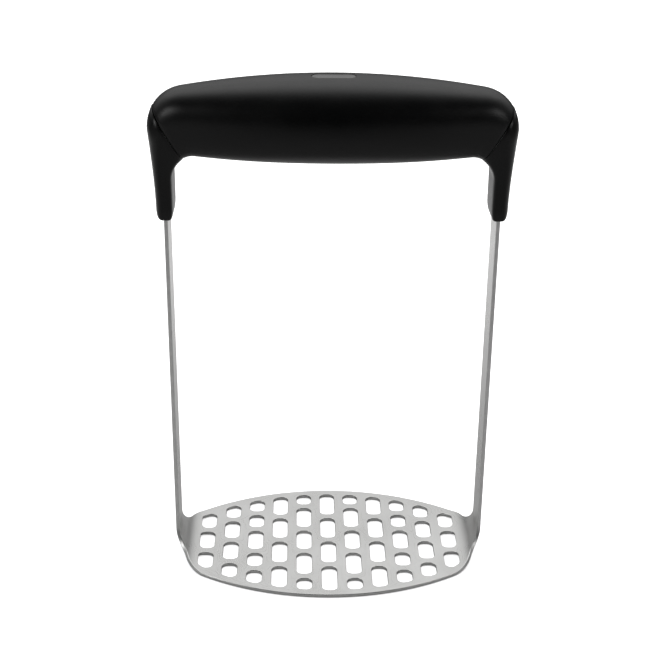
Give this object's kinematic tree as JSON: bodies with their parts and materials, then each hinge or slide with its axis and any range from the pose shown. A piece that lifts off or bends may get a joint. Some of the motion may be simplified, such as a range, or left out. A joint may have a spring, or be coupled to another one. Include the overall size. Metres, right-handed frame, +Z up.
{
  "type": "potato masher",
  "caption": "Hand masher: an oval perforated steel plate folded up into two flat legs that carry a soft-grip loop handle.",
  "frame": {"origin": "on the face the plate stands on, midway between the legs and midway from front to back", "axes": "+Z up from the plate to the handle; +X along the handle, across the two legs; +Y from the front edge of the plate to the back edge"},
  "size_m": [0.1346, 0.0786, 0.1964],
  "materials": {
    "brushed_steel": "satin brushed stainless sheet",
    "core_plastic": "plain moulded, hidden",
    "screw_steel": "plain zinc-plated, hidden",
    "arm_plastic": "hard black plastic with a fine satin surface",
    "grip_rubber": "soft black rubber, silky matte",
    "badge_rubber": "plain black inlay, a little smoother than the grip"
  },
  "bodies": {
    "root": {"steel_blade": "brushed_steel", "core_lower": "core_plastic", "core_upper": "core_plastic", "tang_screws": "screw_steel", "left_arm": "arm_plastic", "right_arm": "arm_plastic", "grip_sleeve": "grip_rubber", "top_badge": "badge_rubber"}
  },
  "joints": []
}
